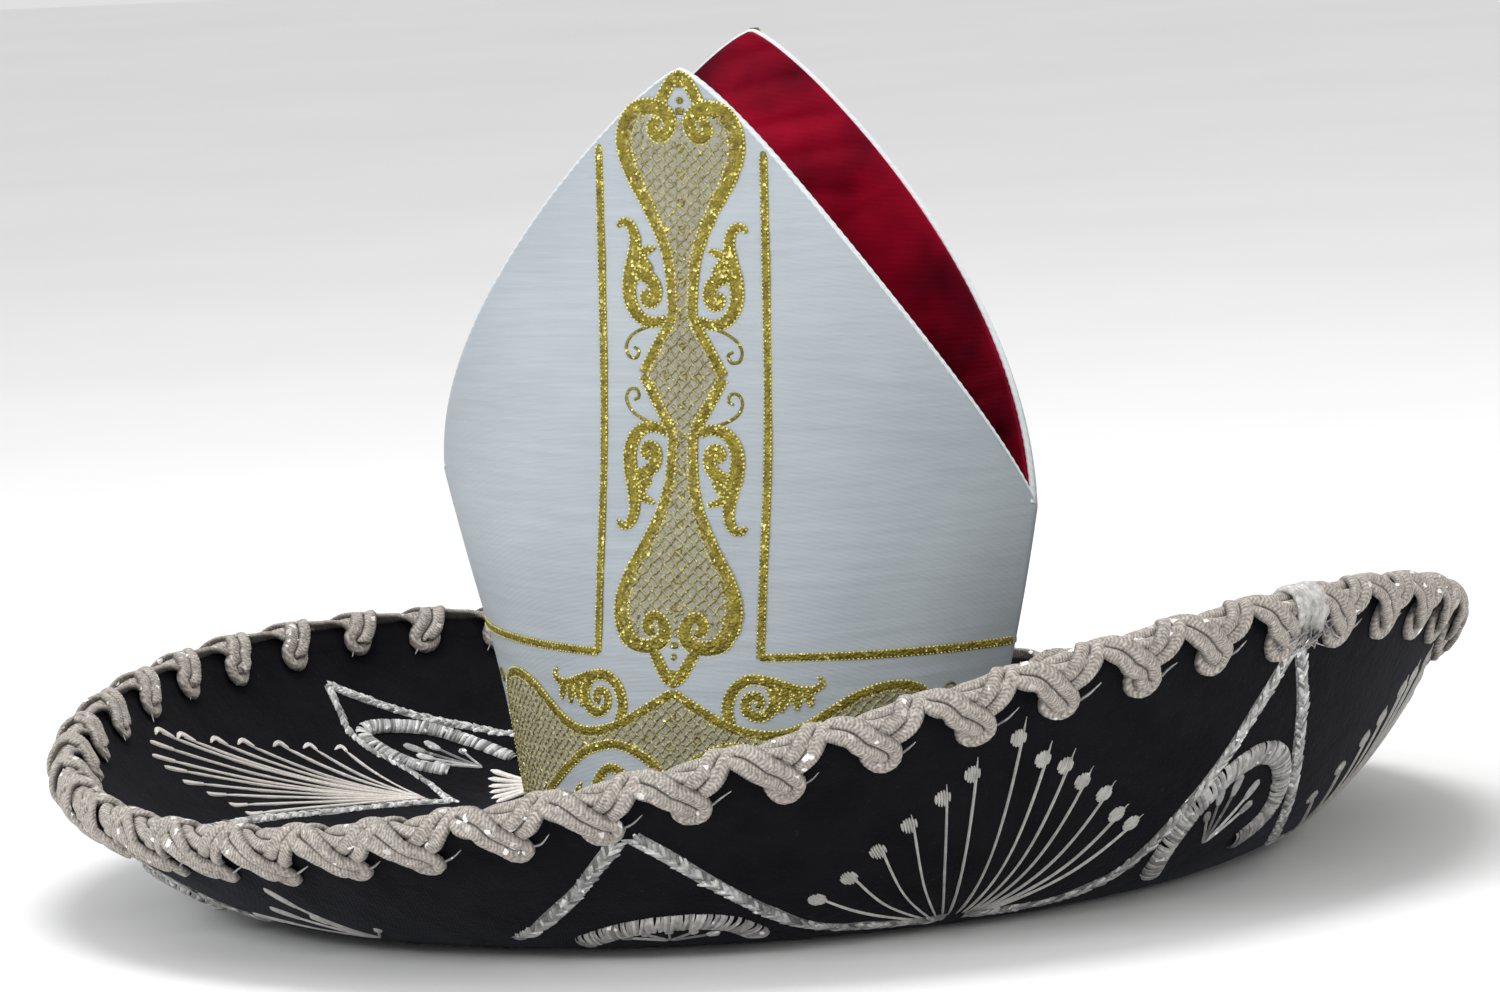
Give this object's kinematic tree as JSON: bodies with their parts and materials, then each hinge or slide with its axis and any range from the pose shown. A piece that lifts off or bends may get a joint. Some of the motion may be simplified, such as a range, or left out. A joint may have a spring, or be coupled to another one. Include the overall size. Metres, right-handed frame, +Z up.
{
  "type": "charro hat with mitre crown",
  "caption": "Wide upswept hat brim in black cloth with silver braid and embroidery, carrying a white and gold two-horned mitre as its crown.",
  "frame": {"origin": "middle of the brim in plan, on the flat ring of its underside", "axes": "+Z up, -Y the way the mitre's front faces, +X to the right seen from the front"},
  "size_m": [0.5858, 0.5832, 0.344],
  "materials": {
    "black_velveteen": "matte pile",
    "brim_board": "matte",
    "steel_wire": "satin",
    "silver_braid": "metallic thread",
    "cotton_band": "matte",
    "buckram": "matte",
    "white_satin": "satin",
    "crimson_satin": "satin",
    "gold_thread": "metallic thread",
    "cream_thread": "soft sheen"
  },
  "bodies": {
    "hat": {"braid_join": "silver_braid", "brim_board": "brim_board", "brim_top_cloth": "black_velveteen", "brim_under_cloth": "black_velveteen", "front_circlet": "gold_thread", "front_cover": "white_satin", "front_edge_piping": "white_satin", "front_galloon_left": "gold_thread", "front_galloon_right": "gold_thread", "front_lining": "crimson_satin", "front_orphrey": "gold_thread", "front_stiffener": "buckram", "gusset_left": "crimson_satin", "gusset_right": "crimson_satin", "rear_circlet": "gold_thread", "rear_cover": "white_satin", "rear_edge_piping": "white_satin", "rear_galloon_left": "gold_thread", "rear_galloon_right": "gold_thread", "rear_lining": "crimson_satin", "rear_orphrey": "gold_thread", "rear_stiffener": "buckram", "rim_braid": "silver_braid", "rim_wire": "steel_wire", "sweatband": "cotton_band", "top_arch_1": "silver_braid", "top_arch_2": "silver_braid", "top_arch_3": "silver_braid", "top_arch_4": "silver_braid", "top_arch_5": "silver_braid", "top_arch_6": "silver_braid", "top_fan_1": "cream_thread", "top_fan_2": "cream_thread", "top_fan_3": "cream_thread", "top_fan_4": "cream_thread", "top_fan_5": "cream_thread", "top_fan_6": "cream_thread", "top_zigzag_trim": "silver_braid", "under_arch_1": "silver_braid", "under_arch_2": "silver_braid", "under_arch_3": "silver_braid", "under_arch_4": "silver_braid", "under_arch_5": "silver_braid", "under_arch_6": "silver_braid", "under_fan_1": "cream_thread", "under_fan_2": "cream_thread", "under_fan_3": "cream_thread", "under_fan_4": "cream_thread", "under_fan_5": "cream_thread", "under_fan_6": "cream_thread", "under_zigzag_trim": "silver_braid"},
    "lappet_left": {"lappet_left_lining": "crimson_satin", "lappet_left_cloth": "white_satin", "lappet_left_fringe": "gold_thread"},
    "lappet_right": {"lappet_right_lining": "crimson_satin", "lappet_right_cloth": "white_satin", "lappet_right_fringe": "gold_thread"}
  },
  "joints": [
    {"name": "lappet_left_lift", "type": "hinge", "parent": "hat", "child": "lappet_left", "pos_m": [-0.045, 0.1045, 0.0113], "axis": [1, 0, 0], "range_deg": [0, 70]},
    {"name": "lappet_right_lift", "type": "hinge", "parent": "hat", "child": "lappet_right", "pos_m": [0.045, 0.1045, 0.0113], "axis": [1, 0, 0], "range_deg": [0, 70]}
  ]
}
